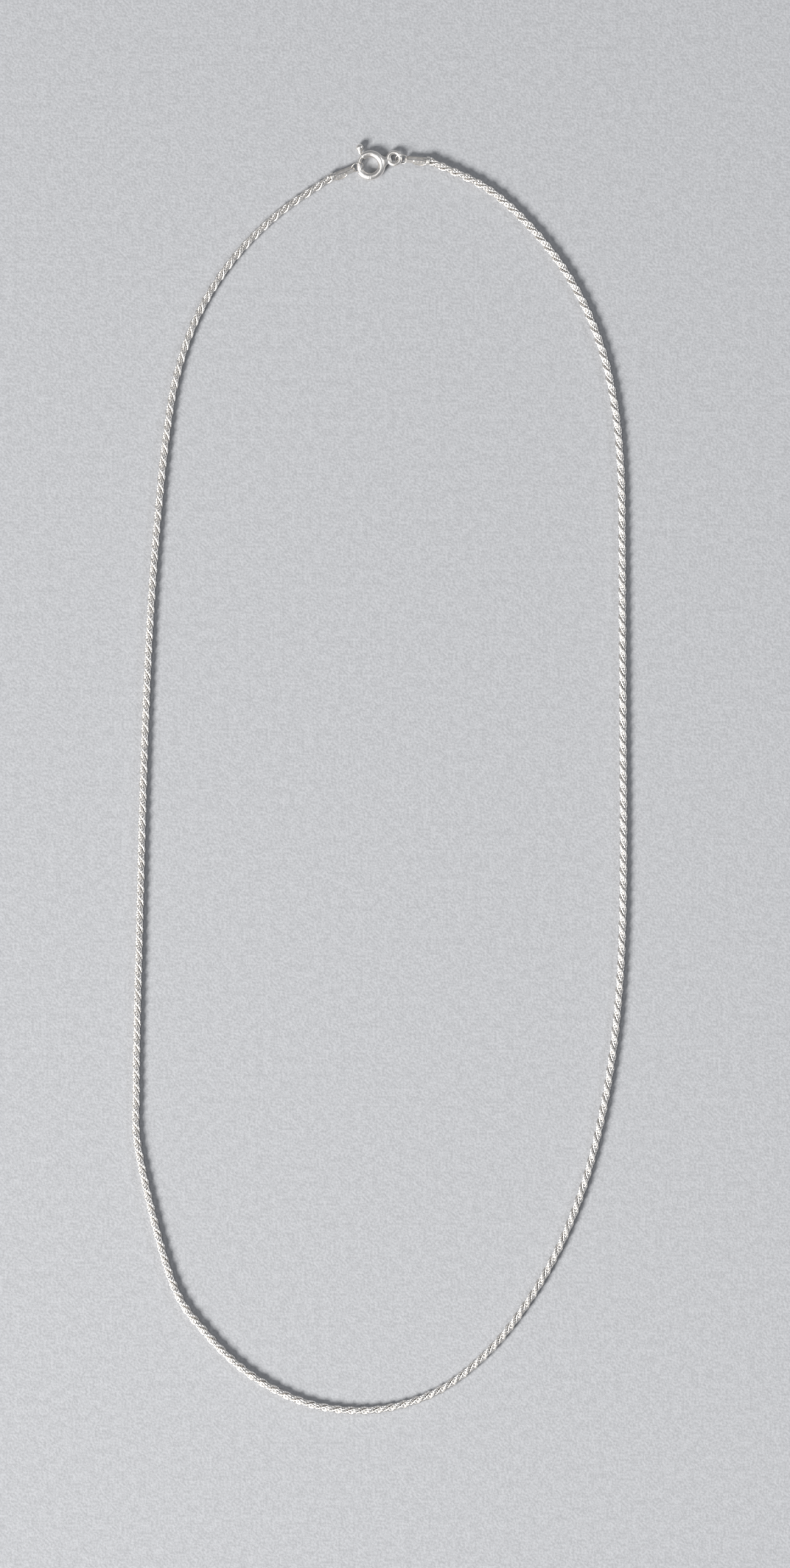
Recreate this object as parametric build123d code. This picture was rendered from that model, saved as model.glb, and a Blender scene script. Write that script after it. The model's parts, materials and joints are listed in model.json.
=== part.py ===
"""Rope-chain necklace, closed by a spring-ring clasp and laid flat in a long oval loop.

The origin is the middle of the loop on the surface that it lies on. +Y runs along the loop to the
clasp, +X to the side of the fixed eye, and +Z is up. Sizes are in millimetres.

The chain is two strands of fine rings twisted round each other. Here it is a row of short round runs
with a hinge between each run and the next, so that it drapes as a chain does. A branch of runs hangs
from each side of the clasp, and the loop is open where the last runs of the two branches meet.
"""

from build123d import *
import os
from math import cos, radians, sin

# Chain
CHAIN_RADIUS = 0.70
LEFT_RUNS, RIGHT_RUNS = 17, 27
RUN_GAP = 0.12              # between the round ends of two runs
OPEN_GAP = 0.30             # between the last runs of the two branches
STRAIGHT = 0.02             # a run that bows less than this is made straight
# The loop's route from the left collar down, round the bottom and up to the right collar
ROUTE = [
    (-14.7, 98.8), (-23.4, 91.0), (-33.3, 74.3), (-37.0, 55.2), (-38.8, 35.7), (-39.9, 16.1),
    (-40.6, -3.4), (-41.1, -23.0), (-41.6, -42.5), (-41.4, -62.1), (-37.6, -81.2), (-27.2, -97.6),
    (-10.4, -107.3), (8.4, -105.4), (23.0, -92.6), (32.6, -75.6), (38.1, -56.8), (40.8, -37.5),
    (41.6, -17.9), (41.6, 1.6), (41.5, 21.2), (41.4, 40.8), (40.6, 60.3), (35.8, 79.2), (24.9, 95.3),
    (15.7, 102.7),
]

# Clasp ring and bolt; angles are degrees round the ring from +X
CLASP_CENTRE = (-1.7, 105.0)
CLASP_HEIGHT = 0.92         # from the surface to the middle of the clasp, links and tags
RING_RADIUS = 1.975         # to the middle of the tube
TUBE_RADIUS = 0.62
BORE_RADIUS = 0.38
GATE_START, GATE_END = 132, 216
BOLT_RADIUS = 0.33
BOLT_BACK, BOLT_TIP = 88, 223
BOLT_TRAVEL = 66
SLOT_WIDTH = 0.50
SLOT_PAST = 7               # how far the slot runs past the trigger's open position
TRIGGER_AT = 129
STEM_RADIUS = 0.20
NECK_RADIUS = 0.30          # where the trigger's bead narrows to its stem
BEAD_RADIUS = 0.66
BEAD_PLACE = (-1.77, 3.00)  # from the ring's centre
SPRING_OUTER, SPRING_INNER = 0.33, 0.19
SPRING_SLACK = 1
STOP_AT, STOP_SPAN = -62, 14

# Fixed eye
EYE_TURN = 16               # direction of the eye from the ring's centre
EYE_DISTANCE = 4.28
EYE_RADIUS = 1.02
EYE_WIRE = 0.36
BRIDGE_HALF_WIDTH, BRIDGE_HALF_HEIGHT = 0.60, 0.36

# Connectors at the two ends of the chain; each hangs from a jump ring
LEFT_SEAT_AT = 186          # where the left jump ring hangs on the bolt
LEFT_TURN, RIGHT_TURN = 202.0, -4.3
ROLL = 40                   # how far the jump rings and tags lie over
LINK_RADIUS = 1.03
LINK_WIRE = 0.12
LINK_SEAT = 0.26            # from the jump ring's centre to the middle of what it hangs on
TAG_SEAT = 0.97             # from the jump ring's centre to the middle of the tag's fold
TAG_INNER, TAG_OUTER = 0.28, 0.46
TAG_HEIGHT = 0.76
TAG_LEGS = 3.17
SHANK_RADIUS = 0.50
SHANK_START, SHANK_END = 2.79, 3.57
COLLAR_START, COLLAR_END = 3.29, 3.89
COLLAR_RADIUS, COLLAR_BORE = 0.75, 0.52
COLLAR_ROUND = 0.12
CHAIN_START = 3.91
CHAIN_NECK = 0.28           # how far the chain's soldered end goes into the collar
PLAQUE_LENGTH, PLAQUE_WIDTH, PLAQUE_THICKNESS = 2.40, 1.30, 0.24
PLAQUE_AT = 2.19            # from the tag's fold to the plaque's middle
PLAQUE_RIM, PLAQUE_RECESS = 0.14, 0.07

UP = Vector(0, 0, 1)
nodes = {}
hinges = []


def direction(degrees):
    return Vector(cos(radians(degrees)), sin(radians(degrees)), 0)


def rod(start, end, radius):
    """A round rod from one point to another."""
    return extrude(Plane(start, z_dir=end - start) * Circle(radius), (end - start).length)


# ---------------------------------------------------------------- clasp

ring_centre = Vector(*CLASP_CENTRE, CLASP_HEIGHT)
eye_centre = ring_centre + direction(EYE_TURN) * EYE_DISTANCE


def on_the_ring(degrees):
    return ring_centre + direction(degrees) * RING_RADIUS


def round_the_ring(section, start, end):
    """Sweeps a section, drawn about the middle of the tube, round the clasp ring."""
    plane = Plane(on_the_ring(start), x_dir=direction(start), z_dir=direction(start - 90))
    return revolve(plane * section, Axis(ring_centre, UP), end - start)


def make_clasp_ring():
    tube = round_the_ring(Circle(TUBE_RADIUS) - Circle(BORE_RADIUS), GATE_END, GATE_START + 360)
    outer_wall = Pos(TUBE_RADIUS, 0) * Rectangle(2 * TUBE_RADIUS, SLOT_WIDTH)
    slot = round_the_ring(outer_wall, TRIGGER_AT - BOLT_TRAVEL - SLOT_PAST, GATE_START + 2)
    return tube - slot


def make_eye():
    """The eye and the bridge that joins it to the ring's tube."""
    toward = direction(EYE_TURN)
    eye = Plane(eye_centre, x_dir=toward, z_dir=UP) * Torus(EYE_RADIUS, EYE_WIRE)
    section = Plane(ring_centre, x_dir=direction(EYE_TURN + 90), z_dir=toward)
    bridge = extrude(section * Ellipse(BRIDGE_HALF_WIDTH, BRIDGE_HALF_HEIGHT), EYE_DISTANCE - EYE_RADIUS)
    tube = round_the_ring(Circle(TUBE_RADIUS), 0, 360)
    core = extrude(Plane(ring_centre) * Circle(RING_RADIUS), TUBE_RADIUS, both=True)
    return eye + (bridge - tube - core)


def make_bolt():
    return round_the_ring(Circle(BOLT_RADIUS), BOLT_BACK, BOLT_TIP) + (
        Pos(*on_the_ring(BOLT_TIP)) * Sphere(BOLT_RADIUS)
    )


def make_trigger():
    """A stem that stands on the bolt and comes out of the slot, and a pear-shaped bead."""
    root = on_the_ring(TRIGGER_AT)
    neck = root + direction(TRIGGER_AT) * (TUBE_RADIUS + NECK_RADIUS / 2)
    bead_centre = ring_centre + Vector(*BEAD_PLACE, 0)
    rise = bead_centre - neck
    taper = Plane(neck + rise / 2, z_dir=rise) * Cone(NECK_RADIUS, 0.92 * BEAD_RADIUS, rise.length)
    pear = taper + Pos(*neck) * Sphere(NECK_RADIUS) + Pos(*bead_centre) * Sphere(BEAD_RADIUS)
    return rod(root, neck, STEM_RADIUS) + pear - nodes["clasp_bolt"]


def make_spring():
    coil = Circle(SPRING_OUTER) - Circle(SPRING_INNER)
    return round_the_ring(coil, STOP_AT + STOP_SPAN / 2 + SPRING_SLACK, BOLT_BACK - SPRING_SLACK)


def make_spring_stop():
    return round_the_ring(Circle(BORE_RADIUS), STOP_AT - STOP_SPAN / 2, STOP_AT + STOP_SPAN / 2)


nodes["clasp_ring"] = make_clasp_ring()
nodes["clasp_eye"] = make_eye()
nodes["clasp_bolt"] = make_bolt()
nodes["clasp_trigger"] = make_trigger()
nodes["clasp_spring"] = make_spring()
nodes["clasp_spring_stop"] = make_spring_stop()
hinges.append(("bolt_turn", ring_centre, -UP))


# ---------------------------------------------------------------- connectors


def make_link(frame):
    return frame * Pos(LINK_SEAT, 0, 0) * Rot(90, 0, 0) * Torus(LINK_RADIUS, LINK_WIRE)


def make_tag(frame):
    """A strip folded round the jump ring, its legs closed on a shank that enters the collar."""
    legs = Pos(TAG_LEGS / 2, 0) * Rectangle(TAG_LEGS, 2 * TAG_OUTER) + Circle(TAG_OUTER)
    between = Pos(TAG_LEGS / 2, 0) * Rectangle(TAG_LEGS, 2 * TAG_INNER) + Circle(TAG_INNER)
    strip = extrude(legs - between, TAG_HEIGHT / 2, both=True)
    shank = rod(Vector(SHANK_START, 0, 0), Vector(SHANK_END, 0, 0), SHANK_RADIUS)
    return frame * (strip + shank)


def make_plaque(frame, side):
    """A shallow oval dish on the outside of one leg of the tag."""
    face = Plane((PLAQUE_AT, side * TAG_OUTER, 0), x_dir=(1, 0, 0), z_dir=(0, side, 0))
    length, width = PLAQUE_LENGTH / 2, PLAQUE_WIDTH / 2
    plate = extrude(Ellipse(length, width), PLAQUE_THICKNESS)
    recess = extrude(Ellipse(length - PLAQUE_RIM, width - PLAQUE_RIM), PLAQUE_RECESS)
    dish = plate - Pos(0, 0, PLAQUE_THICKNESS - PLAQUE_RECESS) * recess
    return frame * (face.location * dish)


def make_collar(frame):
    outside = rod(Vector(COLLAR_START, 0, 0), Vector(COLLAR_END, 0, 0), COLLAR_RADIUS)
    outside = fillet(outside.edges().filter_by(GeomType.CIRCLE), COLLAR_ROUND)
    bore = rod(Vector(COLLAR_START, 0, 0), Vector(COLLAR_END, 0, 0), COLLAR_BORE)
    return frame * (outside - bore)


def make_connector(name, seat, turn, side):
    """The jump ring, tag, plaque and collar at one end of the chain. Returns where the chain starts."""
    along = direction(turn)
    down_the_page = direction(turn - 90 * side)
    rolled = UP * cos(radians(ROLL)) + down_the_page * sin(radians(ROLL))
    link_frame = Plane(seat, x_dir=along, z_dir=rolled).location
    fold = seat + along * (LINK_SEAT + TAG_SEAT)
    tag_frame = Plane(fold, x_dir=along, z_dir=rolled).location
    nodes[f"{name}_jump_ring"] = make_link(link_frame)
    nodes[f"{name}_tag"] = make_tag(tag_frame)
    nodes[f"{name}_plaque"] = make_plaque(tag_frame, side)
    nodes[f"{name}_collar"] = make_collar(tag_frame)
    hinges.append((f"{name}_jump_ring_swing", seat, direction(turn + 90)))
    hinges.append((f"{name}_tag_swing", fold, rolled))
    return fold + along * CHAIN_START


left_seat = on_the_ring(LEFT_SEAT_AT)
right_seat = eye_centre + direction(RIGHT_TURN) * EYE_RADIUS
left_start = make_connector("left", left_seat, LEFT_TURN, 1)
right_start = make_connector("right", right_seat, RIGHT_TURN, -1)


# ---------------------------------------------------------------- chain

chain_route = Spline((left_start.X, left_start.Y), *ROUTE, (right_start.X, right_start.Y))


def on_the_route(distance):
    """The point at a distance along the chain. Only its two ends are off the surface."""
    at_an_end = min(distance, chain_route.length - distance) < STRAIGHT
    height = CLASP_HEIGHT if at_an_end else CHAIN_RADIUS
    flat = chain_route.position_at(distance, position_mode=PositionMode.LENGTH)
    return Vector(flat.X, flat.Y, height)


def make_run(start, end, first_trim, last_trim):
    """A round bar along the route with ball ends, each trimmed back from the hinge beside it."""
    first, last = on_the_route(start), on_the_route(end)
    middle = on_the_route((start + end) / 2)
    middle.Z = (first.Z + last.Z) / 2
    bow = (middle - (first + last) / 2).length
    path = Line(first, last) if bow < STRAIGHT else ThreePointArc(first, middle, last)
    path = path.trim(first_trim / path.length, 1 - last_trim / path.length)
    bar = sweep(Plane(path @ 0, z_dir=path % 0) * Circle(CHAIN_RADIUS), path)
    return bar + Pos(*(path @ 0)) * Sphere(CHAIN_RADIUS) + Pos(*(path @ 1)) * Sphere(CHAIN_RADIUS)


def make_branch(name, turn, runs, flip):
    """The runs from one collar to the open place in the loop, each hinged to the one before."""
    pitch = chain_route.length / (LEFT_RUNS + RIGHT_RUNS)
    trim = CHAIN_RADIUS + RUN_GAP / 2
    open_trim = CHAIN_RADIUS + OPEN_GAP / 2
    for n in range(runs):
        start, end = n * pitch, (n + 1) * pitch
        if flip:
            start, end = chain_route.length - start, chain_route.length - end
        last = n == runs - 1
        run = make_run(start, end, trim if n else CHAIN_RADIUS, open_trim if last else trim)
        if n == 0:
            root, along = on_the_route(start), direction(turn)
            run += rod(root - along * CHAIN_NECK, root + along * CHAIN_RADIUS, SHANK_RADIUS)
        nodes[f"{name}_chain_{n + 1:02}"] = run
        if not last:
            hinge = on_the_route(end)
            along = on_the_route(end + (start - end) / 8) - on_the_route(end - (start - end) / 8)
            sideways = UP.cross(along).normalized()
            turned = radians(45 + 90 * n)
            axis = sideways * cos(turned) + UP * sin(turned)
            hinges.append((f"{name}_chain_bend_{n + 1:02}", hinge, axis))


make_branch("left", LEFT_TURN, LEFT_RUNS, False)
make_branch("right", RIGHT_TURN, RIGHT_RUNS, True)

os.makedirs("parts", exist_ok=True)
for name, shape in nodes.items():
    export_step(shape, f"parts/{name}.step")

print(f"chain {chain_route.length:.1f} mm")
for name, place, axis in hinges:
    print(name, *(f"{value:.4f}" for value in (*place, *axis)))
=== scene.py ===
"""Rope-chain necklace with a spring-ring clasp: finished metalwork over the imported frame."""

import json
from math import cos, floor, pi, radians, sin, tau

import bmesh
import bpy
from mathutils import Matrix, Vector

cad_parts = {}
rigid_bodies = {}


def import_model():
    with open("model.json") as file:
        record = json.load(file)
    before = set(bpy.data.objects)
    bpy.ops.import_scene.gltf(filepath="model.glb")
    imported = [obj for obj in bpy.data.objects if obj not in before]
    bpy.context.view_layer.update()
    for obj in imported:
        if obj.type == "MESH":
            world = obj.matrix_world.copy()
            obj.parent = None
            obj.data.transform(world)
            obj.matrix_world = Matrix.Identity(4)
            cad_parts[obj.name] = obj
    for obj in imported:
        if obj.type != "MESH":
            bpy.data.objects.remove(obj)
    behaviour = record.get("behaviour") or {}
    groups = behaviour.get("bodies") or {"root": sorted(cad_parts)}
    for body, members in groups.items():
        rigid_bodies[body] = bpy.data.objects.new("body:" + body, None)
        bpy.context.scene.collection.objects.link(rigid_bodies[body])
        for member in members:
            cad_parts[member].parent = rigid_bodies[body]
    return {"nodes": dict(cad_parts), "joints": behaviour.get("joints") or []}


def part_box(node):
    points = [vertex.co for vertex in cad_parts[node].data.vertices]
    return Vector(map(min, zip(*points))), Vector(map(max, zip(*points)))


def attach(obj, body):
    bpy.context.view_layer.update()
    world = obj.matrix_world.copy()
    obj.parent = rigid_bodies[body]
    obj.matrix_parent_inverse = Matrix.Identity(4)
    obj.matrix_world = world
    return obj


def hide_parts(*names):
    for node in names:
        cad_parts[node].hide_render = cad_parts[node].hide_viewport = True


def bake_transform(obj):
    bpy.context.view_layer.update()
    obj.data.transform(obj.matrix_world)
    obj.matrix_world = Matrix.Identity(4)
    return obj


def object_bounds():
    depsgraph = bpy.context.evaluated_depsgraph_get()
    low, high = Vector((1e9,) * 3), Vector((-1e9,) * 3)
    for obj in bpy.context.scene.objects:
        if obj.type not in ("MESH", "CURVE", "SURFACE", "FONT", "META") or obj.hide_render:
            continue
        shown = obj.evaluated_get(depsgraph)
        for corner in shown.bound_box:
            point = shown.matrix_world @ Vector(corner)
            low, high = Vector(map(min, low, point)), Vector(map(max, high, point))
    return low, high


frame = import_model()

bl_info = {
    "name": "Rope-chain necklace",
    "version": (1, 0, 0),
    "blender": (4, 5, 0),
    "location": "3D View > Sidebar > Necklace",
    "description": "Builds a silver rope chain, its spring-ring clasp and its end fittings",
    "category": "Object",
}

MM = 0.001
UP = Vector((0, 0, 1))
JOINTS = {joint["name"]: joint for joint in frame["joints"]}
CAD_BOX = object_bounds()

# Chain
COLLAR_DEPTH = -0.1 * MM        # from the end of a collar to the middle of the first ring
COLLAR_HALF = 0.3 * MM          # from the middle of a collar to its end
RISE = 0.03 * MM                # how far the chain's middle is above its hinges
RING_STEPS, RING_SIDES = 12, 5  # faces round a chain ring and round its wire

# Clasp: half widths and half heights of the neck from the ring to the eye, and the steps between
NECK = (
    (1.14, 0.44), (0.98, 0.43), (0.74, 0.40), (0.64, 0.37), (0.68, 0.36), (0.84, 0.36),
    (1.02, 0.35))
NECK_STEPS = (0.17, 0.24, 0.26, 0.26, 0.26, 0.26)
NECK_ROOT = 0.557               # where the neck starts in the tube's wall, clear of the bolt
GATE_ENDS = (132, 216)          # the two ends of the clasp ring's tube, in degrees round it
LIP_INSET, LIP_WIRE = 0.075 * MM, 0.085 * MM
SEAM_BANDS = (-99, -90)         # where each band at the clasp ring's seam starts, in degrees
SEAM_SPAN = 4.5                 # degrees of the ring that a band covers
SEAM_RISE, SEAM_EDGE = 0.025 * MM, 0.03 * MM
SPRING_ENDS = (-53.0, 86.0)     # degrees round the ring, from the stop to the bolt
SPRING_TURNS = 27
SPRING_RADIUS, SPRING_WIRE = 0.265 * MM, 0.045 * MM
SPRING_LEAN = 0.12              # how far each turn leans, in radians

# End fittings
SPLIT_RADIUS, SPLIT_WIRE = 1.055 * MM, 0.066 * MM
SPLIT_STEPS = 96                # steps in the split ring's two turns
RIB_PLACES = (-0.45, -0.15, 0.15, 0.45)  # along the plaque, as parts of its half length
RIB_WIDE, RIB_HIGH, RIB_EDGE = 0.13 * MM, 0.15 * MM, 0.035 * MM
RIB_LONGEST, RIB_RISE = 0.66 * MM, 0.06 * MM
PLAQUE_HALF = 1.7
BEAD_RADIUS, BEAD_WIRE = 0.665 * MM, 0.075 * MM
BEAD_SHIFTS = (-0.22, 0.0, 0.22)  # along the collar from its middle, in millimetres

# Stage: each light's name, place from the middle of the table, size, power and colour
LIGHTS = (
    ("key", (-1.32, -1.08, 1.30), 0.85, 83.0, (1, 0.985, 0.96)),
    ("sheen", (-0.45, 0.25, 1.9), 0.30, 4.0, (1, 0.99, 0.98)),
    ("edge", (1.3, 0.6, 1.1), 0.40, 6.0, (0.95, 0.97, 1)),
)
SKY_COLOUR, SKY_STRENGTH = (0.84, 0.88, 0.95, 1), 0.22
CAMERA_SHIFT = (2.6 * MM, -0.8 * MM)  # from the middle of the necklace
SENSOR = 36                     # height of the camera's sensor, in millimetres
TABLE_HALF = 1.5


# ---------------------------------------------------------------- settings


class NECKLACE_PG_chain(bpy.types.PropertyGroup):
    """The rope chain's wire, rings and twist."""

    ring_radius: bpy.props.FloatProperty(
        name="Ring radius", description="From a ring's centre to the middle of its wire",
        default=0.40 * MM, min=0.2 * MM, max=1 * MM, unit="LENGTH", precision=5)
    wire_radius: bpy.props.FloatProperty(
        name="Wire radius", description="Half the thickness of the chain's wire",
        default=0.12 * MM, min=0.05 * MM, max=0.2 * MM, unit="LENGTH", precision=5)
    stretch: bpy.props.FloatProperty(
        name="Ring stretch", description="How much longer than wide each ring is",
        default=1.5, min=1, max=2, subtype="FACTOR")
    offset: bpy.props.FloatProperty(
        name="Ring offset", description="From the middle of the chain to a ring's centre",
        default=0.31 * MM, min=0, max=0.5 * MM, unit="LENGTH", precision=5)
    turn_length: bpy.props.FloatProperty(
        name="Turn length", description="Length of chain in which a strand goes once round",
        default=4.56 * MM, min=2 * MM, max=10 * MM, unit="LENGTH", precision=5)
    rings_per_turn: bpy.props.IntProperty(
        name="Rings per turn", description="Rings in one turn of one strand",
        default=12, min=6, max=24)
    lean: bpy.props.FloatProperty(
        name="Lean", description="Angle between a ring's long side and the chain",
        default=radians(22), min=0, max=radians(60), subtype="ANGLE")
    tilt: bpy.props.FloatProperty(
        name="Tilt", description="How far each ring lies back on the one before",
        default=radians(70), min=0, max=radians(90), subtype="ANGLE")
    colour: bpy.props.FloatVectorProperty(
        name="Wire colour", description="Colour of the drawn silver wire",
        default=(0.97, 0.94, 0.905), size=3, min=0, max=1, subtype="COLOR")


class NECKLACE_PG_fittings(bpy.types.PropertyGroup):
    """The clasp and the fittings at the chain's ends."""

    polish: bpy.props.FloatVectorProperty(
        name="Polished colour", description="Colour of the polished clasp",
        default=(0.94, 0.905, 0.865), size=3, min=0, max=1, subtype="COLOR")
    satin: bpy.props.FloatVectorProperty(
        name="Fitting colour", description="Colour of the tags, plaques and collars",
        default=(0.91, 0.88, 0.84), size=3, min=0, max=1, subtype="COLOR")
    tarnish: bpy.props.FloatVectorProperty(
        name="Tarnish colour", description="Colour of the grey film in the hollows",
        default=(0.30, 0.285, 0.26), size=3, min=0, max=1, subtype="COLOR")


class NECKLACE_PG_stage(bpy.types.PropertyGroup):
    """The table, lights and camera."""

    table: bpy.props.FloatVectorProperty(
        name="Table colour", description="Colour of the plain table",
        default=(0.43, 0.438, 0.457), size=3, min=0, max=1, subtype="COLOR")
    view_height: bpy.props.FloatProperty(
        name="View height", description="Height of the picture on the table",
        default=268.3 * MM, min=0.05, max=1, unit="LENGTH")
    camera_height: bpy.props.FloatProperty(
        name="Camera height", description="Height of the camera over the table",
        default=2.0, min=0.2, max=5, unit="LENGTH")


# ---------------------------------------------------------------- shader maths


class Wire:
    """A socket of one material, with Python's operators for shader maths."""

    def __init__(self, tree, socket):
        self.tree, self.socket = tree, socket

    def math(self, operation, *values):
        return self.tree.node(
            "ShaderNodeMath", {"operation": operation}, dict(enumerate(values)))

    def __add__(self, other):
        return self.math("ADD", self, other)

    def __radd__(self, other):
        return self.math("ADD", other, self)

    def __sub__(self, other):
        return self.math("SUBTRACT", self, other)

    def __rsub__(self, other):
        return self.math("SUBTRACT", other, self)

    def __mul__(self, other):
        return self.math("MULTIPLY", self, other)

    def __rmul__(self, other):
        return self.math("MULTIPLY", other, self)


class Finish:
    """A metal material built node by node, with one Principled shader."""

    def __init__(self, name, base_color, roughness, metallic=1.0):
        self.material = bpy.data.materials.new(name)
        self.material.use_nodes = True
        self.nodes, self.links = self.material.node_tree.nodes, self.material.node_tree.links
        self.shader = next(n for n in self.nodes if n.type == "BSDF_PRINCIPLED")
        self.set("Base Color", (*base_color, 1.0))
        self.set("Roughness", roughness)
        self.set("Metallic", metallic)

    def node(self, kind, settings=None, inputs=None, output=0):
        """Adds a node: its settings first, then a value or a link for each input given."""
        made = self.nodes.new(kind)
        for key, value in (settings or {}).items():
            setattr(made, key, value)
        for key, value in (inputs or {}).items():
            self.plug(made.inputs[key], value)
        return Wire(self, made.outputs[output])

    def plug(self, socket, value):
        if isinstance(value, Wire):
            self.links.new(value.socket, socket)
        else:
            socket.default_value = value

    def set(self, name, value):
        self.plug(self.shader.inputs[name], value)

    def place(self, scale=(1, 1, 1)):
        """Where a point is on the object, in metres, stretched."""
        where = self.node("ShaderNodeTexCoord", output="Object")
        return self.node("ShaderNodeMapping", inputs={"Vector": where, "Scale": scale})

    def noise(self, scale, detail=2.0, stretch=(1, 1, 1)):
        return self.node("ShaderNodeTexNoise", inputs={
            "Vector": self.place(stretch), "Scale": scale, "Detail": detail})

    def ramp(self, factor, low, high):
        """0 up to low, 1 from high, and a straight slope between them."""
        return self.node("ShaderNodeMapRange", {"clamp": True}, {
            "Value": factor, "From Min": low, "From Max": high})

    def mix(self, factor, first, second):
        """The first colour at factor 0 and the second at 1, through the colour sockets."""
        return self.node(
            "ShaderNodeMix", {"data_type": "RGBA"}, {0: factor, 6: first, 7: second}, output=2)

    def bump(self, height, distance, strength=1.0):
        self.set("Normal", self.node("ShaderNodeBump", inputs={
            "Height": height, "Distance": distance, "Strength": strength}))


def rgba(colour):
    return (*colour, 1.0)


def wire_silver(settings, name):
    """Drawn wire: fine draw marks, a grey film in places and small bright wear."""
    film = bpy.context.scene.necklace_fittings.tarnish
    metal = Finish(name, settings.colour, 0.2)
    patch = metal.ramp(metal.noise(900, 3), 0.45, 0.75)
    fine = metal.noise(9000, 2)
    metal.set("Base Color", metal.mix(patch * 0.35, rgba(settings.colour), rgba(film)))
    metal.set("Roughness", 0.26 + 0.14 * fine + 0.10 * patch)
    metal.bump(fine, 0.012 * MM, 0.35)
    return metal.material


def polished_silver(settings, name):
    """Polished casting: faint buffing marks, soft waves and a thin grey film."""
    metal = Finish(name, settings.polish, 0.12)
    film = metal.ramp(metal.noise(700, 3), 0.5, 0.8)
    buffing = metal.noise(4000, 2, (1, 0.2, 1))
    metal.set("Base Color", metal.mix(film * 0.3, rgba(settings.polish), rgba(settings.tarnish)))
    metal.set("Roughness", 0.30 + 0.12 * buffing + 0.14 * film)
    metal.bump(metal.noise(1300, 1) + 0.3 * metal.noise(5200, 2), 0.05 * MM, 0.6)
    return metal.material


def fitting_silver(settings, name):
    """Stamped strip: a light satin with more of the grey film."""
    metal = Finish(name, settings.satin, 0.25)
    film = metal.ramp(metal.noise(1400, 3), 0.4, 0.75)
    grain = metal.noise(7000, 2)
    metal.set("Base Color", metal.mix(film * 0.4, rgba(settings.satin), rgba(settings.tarnish)))
    metal.set("Roughness", 0.28 + 0.14 * grain + 0.12 * film)
    metal.bump(grain, 0.02 * MM, 0.4)
    return metal.material


def spring_wire():
    """Drawn steel wire, a little darker than the silver round it."""
    steel = Finish("spring_wire", (0.55, 0.55, 0.53), 0.3)
    grain = steel.noise(9000)
    steel.set("Roughness", grain * 0.2 + 0.2)
    steel.bump(grain, 0.01 * MM)
    return steel.material


# ---------------------------------------------------------------- shapes


def finish_piece(mesh, name, material):
    """Turns a bmesh into a smooth-shaded piece with its material."""
    data = bpy.data.meshes.new(name)
    mesh.to_mesh(data)
    mesh.free()
    data.materials.append(material)
    data.polygons.foreach_set("use_smooth", [True] * len(data.polygons))
    piece = bpy.data.objects.new(name, data)
    bpy.context.scene.collection.objects.link(piece)
    return piece


def frame_of(x_axis, z_axis, place):
    """A matrix that stands a shape at a place, with its X and Z along two axes."""
    z_axis = z_axis.normalized()
    y_axis = z_axis.cross(x_axis).normalized()
    x_axis = y_axis.cross(z_axis)
    turn = Matrix((x_axis, y_axis, z_axis)).transposed().to_4x4()
    return Matrix.Translation(place) @ turn


def edges_of(verts):
    """The edges at some points, each once."""
    return list(dict.fromkeys(edge for vert in verts for edge in vert.link_edges))


def spin_ring(radius, wire, steps, sides, stretch=1.0):
    """A closed ring of round wire about Z, as mesh data that can be copied many times."""
    mesh = bmesh.new()
    section = bmesh.ops.create_circle(
        mesh, segments=sides, radius=wire,
        matrix=Matrix.Translation((radius, 0, 0)) @ Matrix.Rotation(pi / 2, 4, "X"))["verts"]
    edges = edges_of(section)
    bmesh.ops.spin(
        mesh, geom=edges, cent=(0, 0, 0), axis=(0, 0, 1), angle=tau, steps=steps, use_merge=True)
    bmesh.ops.scale(mesh, vec=(1, stretch, 1), verts=mesh.verts)
    bmesh.ops.recalc_face_normals(mesh, faces=mesh.faces)
    ring = bpy.data.meshes.new("ring")
    mesh.to_mesh(ring)
    mesh.free()
    return ring


def add_copy(mesh, shape, matrix):
    """Adds a copy of a shape's mesh, stood at a matrix."""
    shape.transform(matrix)
    mesh.from_mesh(shape)
    shape.transform(matrix.inverted())


def joint_place(name):
    return Vector(JOINTS[name]["pos_m"])


def box_centre(node):
    low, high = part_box(node)
    return (low + high) / 2


# ---------------------------------------------------------------- chain


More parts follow.
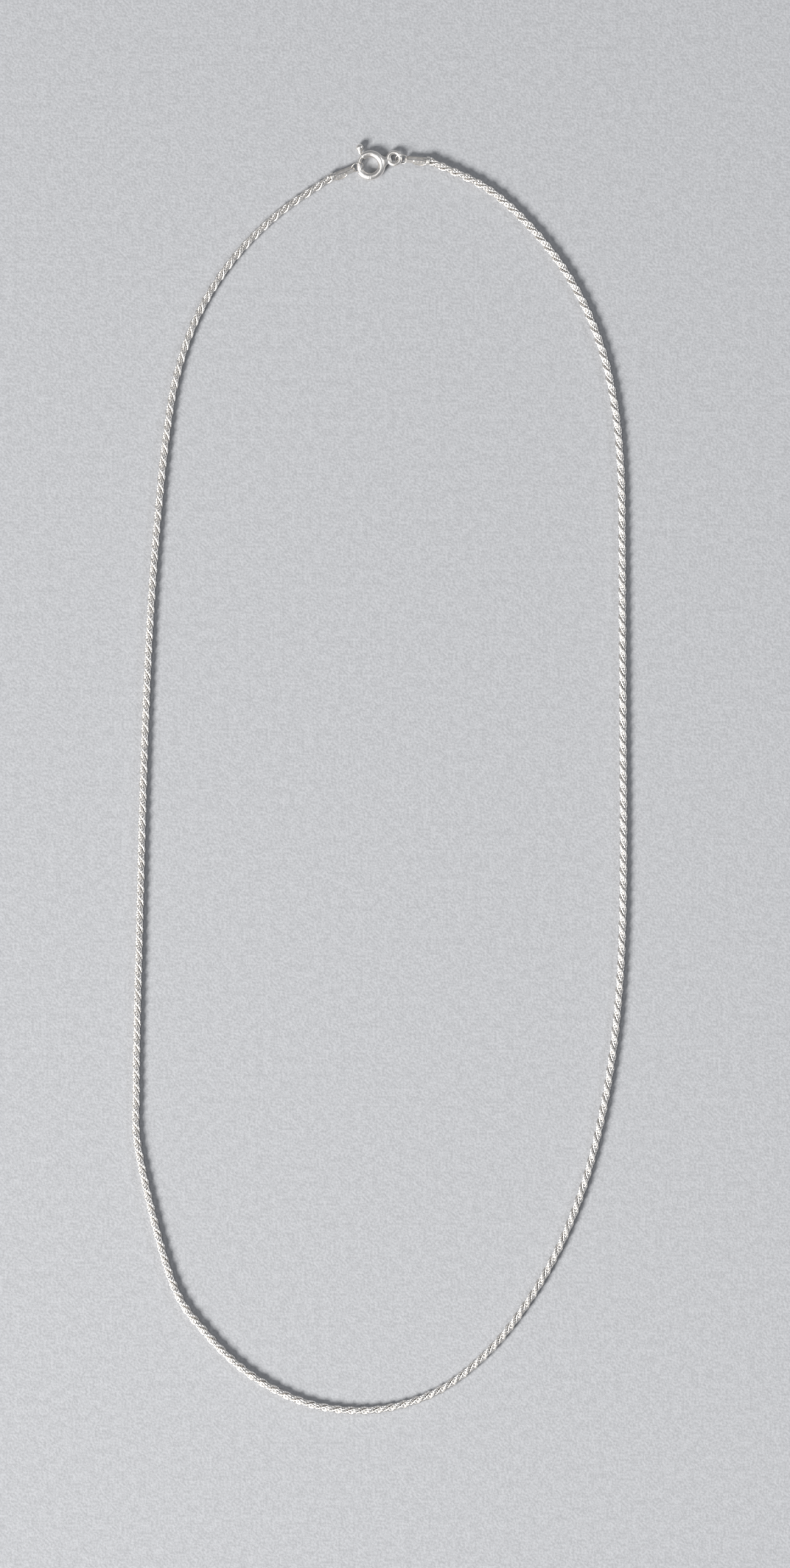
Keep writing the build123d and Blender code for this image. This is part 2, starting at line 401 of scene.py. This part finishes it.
class ChainLine:
    """The chain's middle line: a smooth curve through its two collars and all its hinges."""

    STEPS = 24

    def __init__(self):
        stops = [self.collar_end("left")]
        left, right = self.bends("left"), self.bends("right")
        self.left_hinges = len(left)
        self.hinges = left + right[::-1]
        stops += [Vector(joint["pos_m"]) for joint in self.hinges]
        stops.append(self.collar_end("right"))
        self.points = self.smooth(stops)
        self.lengths = [0.0]
        for first, second in zip(self.points, self.points[1:]):
            self.lengths.append(self.lengths[-1] + (second - first).length)
        self.length = self.lengths[-1]

    @staticmethod
    def bends(side):
        bend = f"{side}_chain_bend_"
        return [JOINTS[name] for name in sorted(JOINTS) if name.startswith(bend)]

    @staticmethod
    def collar_end(side):
        collar, pivot = box_centre(f"{side}_collar"), joint_place(f"{side}_tag_swing")
        return collar + (collar - pivot).normalized() * COLLAR_HALF

    def smooth(self, stops):
        ends = [2 * stops[0] - stops[1], *stops, 2 * stops[-1] - stops[-2]]
        points = [stops[0]]
        for before, first, second, after in zip(ends, ends[1:], ends[2:], ends[3:]):
            for n in range(1, self.STEPS + 1):
                points.append(self.catmull(before, first, second, after, n / self.STEPS))
        return points

    @staticmethod
    def catmull(before, first, second, after, t):
        pull_in = (second - before) / 2
        pull_out = (after - first) / 2
        return (
            (2 * t**3 - 3 * t**2 + 1) * first + (t**3 - 2 * t**2 + t) * pull_in
            + (3 * t**2 - 2 * t**3) * second + (t**3 - t**2) * pull_out)

    def at(self, distance):
        """The point at a distance along the chain, and the direction there."""
        low, high = 0, len(self.points) - 2
        while low < high:
            middle = (low + high + 1) // 2
            if self.lengths[middle] <= distance:
                low = middle
            else:
                high = middle - 1
        first, second = self.points[low], self.points[low + 1]
        step = self.lengths[low + 1] - self.lengths[low]
        along = (second - first).normalized()
        return first + (second - first) * ((distance - self.lengths[low]) / step), along

    def stop_distances(self):
        """How far along the chain each collar end and hinge is."""
        return self.lengths[:: self.STEPS]


def ring_matrix(line, settings, distance, phase):
    """Where one ring stands: it leans along its strand and lies back on the last ring."""
    place, along = line.at(distance)
    place = place + UP * RISE
    level = UP.cross(along).normalized()
    lift = along.cross(level)
    turn = phase - tau * distance / settings.turn_length
    outward = level * cos(turn) + lift * sin(turn)
    around = level * -sin(turn) + lift * cos(turn)
    lengthwise = along * cos(settings.lean) - around * sin(settings.lean)
    across = outward * cos(settings.tilt) + lengthwise.cross(outward) * sin(settings.tilt)
    return frame_of(across, across.cross(lengthwise), place + outward * settings.offset)


def build_stretch(line, settings, material, name, start, end):
    """All the rings whose centres lie between two distances along the chain."""
    mesh = bmesh.new()
    ring = spin_ring(
        settings.ring_radius, settings.wire_radius, RING_STEPS, RING_SIDES, settings.stretch)
    step = settings.turn_length / settings.rings_per_turn
    first, last = floor(start / step) + 1, floor(end / step)
    for count in range(first, last + 1):
        for strand in (0, pi):
            add_copy(mesh, ring, ring_matrix(line, settings, count * step, strand))
    bpy.data.meshes.remove(ring)
    return finish_piece(mesh, name, material)


class NECKLACE_OT_chain(bpy.types.Operator):
    """Builds the rope chain ring by ring, in one stretch round each hinge and one at each end"""

    bl_idname = "necklace.chain"
    bl_label = "Rope chain"

    def execute(self, context):
        settings = context.scene.necklace_chain
        material = wire_silver(settings, "chain_wire")
        line = ChainLine()
        stops = line.stop_distances()
        middles = [(first + second) / 2 for first, second in zip(stops, stops[1:])]
        for number, joint in enumerate(line.hinges):
            start, end = middles[number], middles[number + 1]
            piece = build_stretch(line, settings, material, f"rope_{number + 1:02}", start, end)
            first, second = joint["parent"], joint["child"]
            if number >= line.left_hinges:
                first, second = second, first
            hinge = stops[number + 1]
            reach = min(hinge - start, end - hinge)
            line.at(hinge - reach)[0]
            line.at(hinge + reach)[0]
            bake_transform(piece)
        ends = (
            ("left", COLLAR_DEPTH, middles[0]),
            ("right", middles[-1], line.length - COLLAR_DEPTH))
        for side, start, end in ends:
            piece = build_stretch(line, settings, material, f"rope_{side}_end", start, end)
            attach(piece, f"{side}_end")
            runs = [name for name in frame["nodes"] if name.startswith(f"{side}_chain_")]
            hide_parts(*runs)
        return {"FINISHED"}


# ---------------------------------------------------------------- clasp and fittings


def clasp_facts():
    """The clasp ring's centre, the radius to the middle of its tube, and the tube's radius."""
    low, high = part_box("clasp_ring")
    centre = joint_place("bolt_turn")
    tube = (high.z - low.z) / 2
    return centre, high.x - centre.x - tube, tube


def tube_band(mesh, centre, ring_radius, radius, start, end, steps, sides):
    """A band round the clasp's tube, swept round the ring from one angle to another and closed."""
    stand = Matrix.Translation(centre) @ Matrix.Rotation(start, 4, "Z")
    stand = stand @ Matrix.Translation((ring_radius, 0, 0)) @ Matrix.Rotation(pi / 2, 4, "X")
    circle = bmesh.ops.create_circle(mesh, segments=sides, radius=radius, matrix=stand)["verts"]
    edges = edges_of(circle)
    made = bmesh.ops.spin(
        mesh, geom=edges, cent=centre, axis=(0, 0, 1), angle=end - start, steps=steps)
    last = [item for item in made["geom_last"] if isinstance(item, bmesh.types.BMEdge)]
    for rim in (edges, last):
        bmesh.ops.contextual_create(mesh, geom=rim)


class NECKLACE_OT_clasp(bpy.types.Operator):
    """Polishes the spring ring and adds its return spring, neck, seam bands and rolled lips"""

    bl_idname = "necklace.clasp"
    bl_label = "Spring-ring clasp"

    def execute(self, context):
        settings = context.scene.necklace_fittings
        polished = polished_silver(settings, "polished_silver")
        for name in ("clasp_ring", "clasp_eye", "clasp_bolt", "clasp_trigger", "clasp_spring_stop"):
            frame["nodes"][name].material_slots[0].material = polished
        centre, ring_radius, tube = clasp_facts()
        self.spring(centre, ring_radius)
        self.neck(polished, centre, ring_radius, tube)
        self.bands(polished, centre, ring_radius, tube)
        self.lips(polished, centre, ring_radius, tube)
        return {"FINISHED"}

    def spring(self, centre, ring_radius):
        """The return spring's turns, spaced evenly round the ring from the stop to the bolt."""
        mesh = bmesh.new()
        turn = spin_ring(SPRING_RADIUS, SPRING_WIRE, 16, 6)
        first, last = (radians(angle) for angle in SPRING_ENDS)
        for count in range(SPRING_TURNS):
            angle = first + (last - first) * count / (SPRING_TURNS - 1)
            stand = Matrix.Translation(centre) @ Matrix.Rotation(angle, 4, "Z")
            stand = stand @ Matrix.Translation((ring_radius, 0, 0))
            add_copy(mesh, turn, stand @ Matrix.Rotation(pi / 2 + SPRING_LEAN, 4, "X"))
        bpy.data.meshes.remove(turn)
        coil = finish_piece(mesh, "clasp_return_spring", spring_wire())
        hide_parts("clasp_spring")
        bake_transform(coil)

    def neck(self, material, centre, ring_radius, tube):
        """The cast neck between the ring and its eye, waisted in the middle."""
        low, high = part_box("clasp_eye")
        eye = Vector((high.x - (high.y - low.y) / 2, (low.y + high.y) / 2, centre.z))
        toward = (eye - centre).normalized()
        start = centre + toward * (ring_radius + NECK_ROOT * tube)
        mesh = bmesh.new()
        stand = frame_of(UP.cross(toward), toward, start)
        circle = bmesh.ops.create_circle(mesh, segments=32, radius=1, matrix=stand)["verts"]
        wide, high_now = NECK[0]
        bmesh.ops.scale(
            mesh, vec=(wide * MM, high_now * MM, 1), space=stand.inverted(), verts=circle)
        rim = edges_of(circle)
        bmesh.ops.contextual_create(mesh, geom=rim)
        place = 0.0
        for (wide, high_now), (next_wide, next_high), step in zip(NECK, NECK[1:], NECK_STEPS):
            made = bmesh.ops.extrude_edge_only(mesh, edges=rim)["geom"]
            verts = [item for item in made if isinstance(item, bmesh.types.BMVert)]
            rim = [item for item in made if isinstance(item, bmesh.types.BMEdge)]
            rim = [edge for edge in rim if all(vert in verts for vert in edge.verts)]
            bmesh.ops.translate(mesh, vec=toward * step * MM, verts=verts)
            place += step * MM
            bmesh.ops.scale(
                mesh, vec=(next_wide / wide, next_high / high_now, 1), verts=verts,
                space=frame_of(UP.cross(toward), toward, start + toward * place).inverted())
        bmesh.ops.contextual_create(mesh, geom=rim)
        bmesh.ops.recalc_face_normals(mesh, faces=mesh.faces)
        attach(finish_piece(mesh, "clasp_neck", material), "clasp")

    def bands(self, material, centre, ring_radius, tube):
        """Two narrow bands at the seam where the ring's tube was closed on its spring."""
        mesh = bmesh.new()
        for start in SEAM_BANDS:
            tube_band(
                mesh, centre, ring_radius, tube + SEAM_RISE, radians(start),
                radians(start + SEAM_SPAN), steps=3, sides=32)
        bmesh.ops.recalc_face_normals(mesh, faces=mesh.faces)
        rims = [
            edge for edge in mesh.edges if any(len(face.verts) > 4 for face in edge.link_faces)]
        bmesh.ops.bevel(
            mesh, geom=rims, offset=SEAM_EDGE, offset_type="OFFSET", segments=2,
            profile=0.5, affect="EDGES", material=-1)
        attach(finish_piece(mesh, "clasp_seam_bands", material), "clasp")

    def lips(self, material, centre, ring_radius, tube):
        """A rolled lip round each end of the tube, beside the gate."""
        mesh = bmesh.new()
        ring = spin_ring(tube - LIP_INSET, LIP_WIRE, 40, 10)
        for angle in GATE_ENDS:
            stand = Matrix.Translation(centre) @ Matrix.Rotation(radians(angle), 4, "Z")
            stand = stand @ Matrix.Translation((ring_radius, 0, 0))
            stand = stand @ Matrix.Rotation(pi / 2, 4, "X")
            add_copy(mesh, ring, stand)
        bpy.data.meshes.remove(ring)
        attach(finish_piece(mesh, "clasp_lips", material), "clasp")


class Connector:
    """The places and directions of one end fitting, from its joint and its nodes."""

    def __init__(self, side):
        self.side = side
        joint = JOINTS[f"{side}_tag_swing"]
        self.fold = Vector(joint["pos_m"])
        self.rolled = Vector(joint["axis"]).normalized()
        along = box_centre(f"{side}_collar") - self.fold
        self.along = (along - self.rolled * along.dot(self.rolled)).normalized()
        plaque = box_centre(f"{side}_plaque")
        face = self.rolled.cross(self.along)
        self.face = face if (plaque - self.fold).dot(face) > 0 else -face
        self.plaque = plaque

    def stand(self, place):
        """A matrix at a place, with X along the fitting and Z off the plaque."""
        return frame_of(self.along, self.face, place)


class NECKLACE_OT_fittings(bpy.types.Operator):
    """Makes the coiled jump rings, the ribbed plaques and the beaded collars at the chain's ends"""

    bl_idname = "necklace.fittings"
    bl_label = "End fittings"

    def execute(self, context):
        settings = context.scene.necklace_fittings
        satin = fitting_silver(settings, "fitting_silver")
        for side in ("left", "right"):
            fitting = Connector(side)
            for part in ("tag", "plaque", "collar"):
                frame["nodes"][f"{side}_{part}"].material_slots[0].material = satin
            self.jump_ring(fitting, satin)
            self.ribs(fitting, satin)
            self.beads(fitting, satin)
        return {"FINISHED"}

    def jump_ring(self, fitting, material):
        """A split ring: two turns of fine wire lying against each other."""
        node = f"{fitting.side}_jump_ring"
        mesh = bmesh.new()
        start = Matrix.Translation((SPLIT_RADIUS, 0, -SPLIT_WIRE)) @ Matrix.Rotation(pi / 2, 4, "X")
        circle = bmesh.ops.create_circle(
            mesh, segments=8, radius=SPLIT_WIRE, matrix=start)["verts"]
        edges = edges_of(circle)
        made = bmesh.ops.spin(
            mesh, geom=edges, cent=(0, 0, 0), axis=(0, 0, 1),
            dvec=(0, 0, 2 * SPLIT_WIRE / SPLIT_STEPS), angle=2 * tau, steps=SPLIT_STEPS)
        last = [item for item in made["geom_last"] if isinstance(item, bmesh.types.BMEdge)]
        for rim in (edges, last):
            bmesh.ops.contextual_create(mesh, geom=rim)
        bmesh.ops.recalc_face_normals(mesh, faces=mesh.faces)
        bmesh.ops.transform(mesh, matrix=fitting.stand(box_centre(node)), verts=mesh.verts)
        piece = finish_piece(mesh, f"{fitting.side}_split_ring", material)
        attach(piece, f"{fitting.side}_link")
        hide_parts(node)

    def ribs(self, fitting, material):
        """Plain raised ribs across the plaque, shorter towards its ends."""
        mesh = bmesh.new()
        for place in RIB_PLACES:
            width = RIB_LONGEST * (1 - place**2) ** 0.5
            cube = bmesh.ops.create_cube(mesh, size=1)["verts"]
            bmesh.ops.scale(mesh, vec=(RIB_WIDE, width, RIB_HIGH), verts=cube)
            edges = edges_of(cube)
            bevelled = bmesh.ops.bevel(
                mesh, geom=edges, offset=RIB_EDGE, offset_type="OFFSET", segments=2,
                profile=0.5, affect="EDGES", material=-1)
            verts = {vert for face in bevelled["faces"] for vert in face.verts}
            verts |= {vert for vert in cube if vert.is_valid}
            bmesh.ops.translate(
                mesh, vec=(place * PLAQUE_HALF * MM, 0, RIB_RISE), verts=list(verts))
        bmesh.ops.transform(mesh, matrix=fitting.stand(fitting.plaque), verts=mesh.verts)
        piece = finish_piece(mesh, f"{fitting.side}_plaque_ribs", material)
        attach(piece, f"{fitting.side}_end")

    def beads(self, fitting, material):
        """Three fine wires round the collar: one at its middle and one near each end."""
        centre = box_centre(f"{fitting.side}_collar")
        mesh = bmesh.new()
        ring = spin_ring(BEAD_RADIUS, BEAD_WIRE, 36, 10)
        stand = frame_of(fitting.rolled, fitting.along, centre)
        for shift in BEAD_SHIFTS:
            add_copy(mesh, ring, stand @ Matrix.Translation((0, 0, shift * MM)))
        bpy.data.meshes.remove(ring)
        piece = finish_piece(mesh, f"{fitting.side}_collar_beads", material)
        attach(piece, f"{fitting.side}_end")


# ---------------------------------------------------------------- stage


class NECKLACE_OT_stage(bpy.types.Operator):
    """Sets the table, soft lights and the camera straight above"""

    bl_idname = "necklace.stage"
    bl_label = "Table, lights and camera"

    def execute(self, context):
        settings = context.scene.necklace_stage
        low, high = CAD_BOX
        centre = (low + high) / 2
        self.table(settings, low.z)
        self.camera(context.scene, settings, centre)
        self.lights(context.scene, centre)
        return {"FINISHED"}

    def table(self, settings, height):
        mesh = bmesh.new()
        bmesh.ops.create_grid(mesh, x_segments=1, y_segments=1, size=TABLE_HALF)
        bmesh.ops.translate(mesh, vec=(0, 0, height), verts=mesh.verts)
        data = bpy.data.meshes.new("table")
        mesh.to_mesh(data)
        mesh.free()
        top = Finish("table_top", settings.table, 0.9, 0.0)
        grain = top.noise(2400, 2)
        mottle = top.ramp(grain * 0.7 + top.noise(700, 2) * 0.3, 0.38, 0.62)
        shade = tuple(0.80 * value for value in settings.table)
        top.set("Base Color", top.mix(mottle, rgba(shade), rgba(settings.table)))
        top.bump(grain, 0.12 * MM, 0.6)
        data.materials.append(top.material)
        table = bpy.data.objects.new("table", data)
        bpy.context.scene.collection.objects.link(table)

    def camera(self, scene, settings, centre):
        data = bpy.data.cameras.new("camera")
        data.sensor_fit = "VERTICAL"
        data.sensor_height = SENSOR
        data.lens = SENSOR * settings.camera_height / settings.view_height
        camera = bpy.data.objects.new("camera", data)
        across, along = CAMERA_SHIFT
        camera.location = (centre.x + across, centre.y + along, settings.camera_height)
        scene.collection.objects.link(camera)
        scene.camera = camera

    def lights(self, scene, centre):
        scene.view_settings.view_transform = "Standard"
        for name, place, size, power, colour in LIGHTS:
            data = bpy.data.lights.new(name, "AREA")
            data.shape, data.size = "DISK", size
            data.energy, data.color = power, colour
            light = bpy.data.objects.new(name, data)
            light.location = Vector(place) + centre
            light.rotation_euler = (-Vector(place)).to_track_quat("-Z", "Y").to_euler()
            scene.collection.objects.link(light)
        world = bpy.data.worlds.new("studio")
        world.use_nodes = True
        background = world.node_tree.nodes["Background"]
        background.inputs[0].default_value = SKY_COLOUR
        background.inputs[1].default_value = SKY_STRENGTH
        scene.world = world


class NECKLACE_PT_panel(bpy.types.Panel):
    """Sizes, colours and steps of the necklace"""

    bl_idname = "NECKLACE_PT_panel"
    bl_label = "Rope-chain necklace"
    bl_space_type = "VIEW_3D"
    bl_region_type = "UI"
    bl_category = "Necklace"

    def draw(self, context):
        for group, buttons in (
            ("necklace_stage", ("necklace.stage",)),
            ("necklace_chain", ("necklace.chain",)),
            ("necklace_fittings", ("necklace.clasp", "necklace.fittings")),
        ):
            settings = getattr(context.scene, group)
            column = self.layout.column(align=True)
            for name in settings.__annotations__:
                column.prop(settings, name)
            for button in buttons:
                column.operator(button)


GROUPS = {
    "necklace_chain": NECKLACE_PG_chain,
    "necklace_fittings": NECKLACE_PG_fittings,
    "necklace_stage": NECKLACE_PG_stage,
}
OPERATORS = (NECKLACE_OT_stage, NECKLACE_OT_chain, NECKLACE_OT_clasp, NECKLACE_OT_fittings)


def register():
    for one in (*GROUPS.values(), *OPERATORS, NECKLACE_PT_panel):
        bpy.utils.register_class(one)
    for name, group in GROUPS.items():
        setattr(bpy.types.Scene, name, bpy.props.PointerProperty(type=group))


def unregister():
    for name in GROUPS:
        delattr(bpy.types.Scene, name)
    for one in (NECKLACE_PT_panel, *OPERATORS[::-1], *GROUPS.values()):
        bpy.utils.unregister_class(one)


def main():
    register()
    bpy.ops.necklace.stage()
    bpy.ops.necklace.chain()
    bpy.ops.necklace.clasp()
    bpy.ops.necklace.fittings()


if __name__ == "__main__":
    main()
